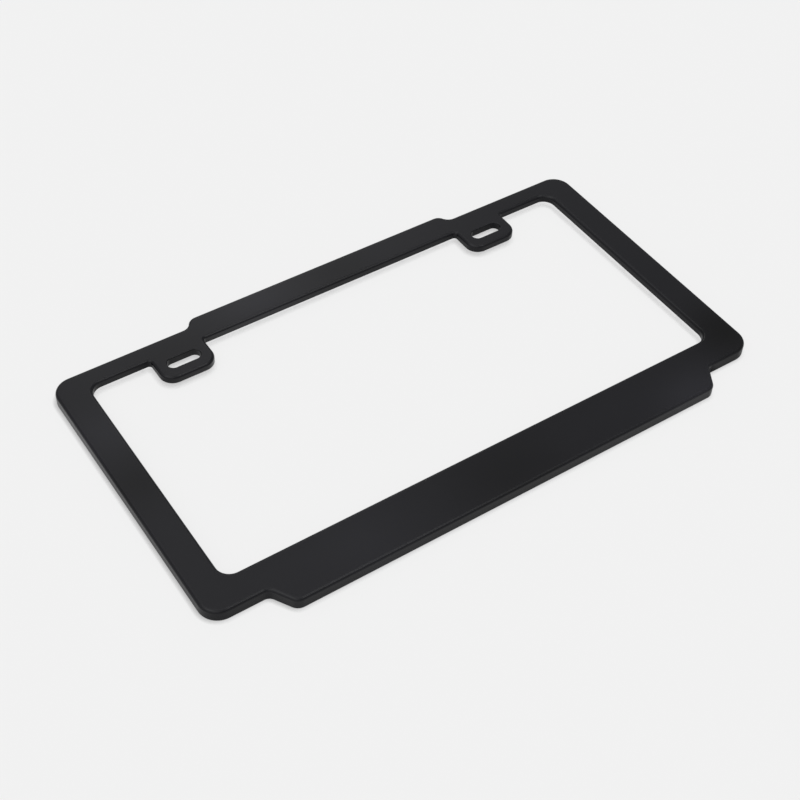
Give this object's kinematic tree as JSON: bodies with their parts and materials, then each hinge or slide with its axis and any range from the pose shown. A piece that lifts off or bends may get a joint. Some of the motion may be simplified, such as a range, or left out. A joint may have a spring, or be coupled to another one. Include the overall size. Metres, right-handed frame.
{
  "type": "number plate holder",
  "caption": "Moulded black frame for a number plate, with a raised middle on top, a wide dropped bar below, two slotted bolt tabs and a hollow back with a seat for the plate.",
  "frame": {"origin": "middle of the overall box at the foot of the rim, where the frame lies on its back", "axes": "+X along the plate to the viewer's right, +Y from the lower to the upper edge, +Z out of the face"},
  "size_m": [0.3112, 0.1778, 0.0065],
  "materials": {
    "black_plastic": "satin black moulded plastic with a very fine even grain"
  },
  "bodies": {
    "root": {"plate_frame": "black_plastic"}
  },
  "joints": []
}
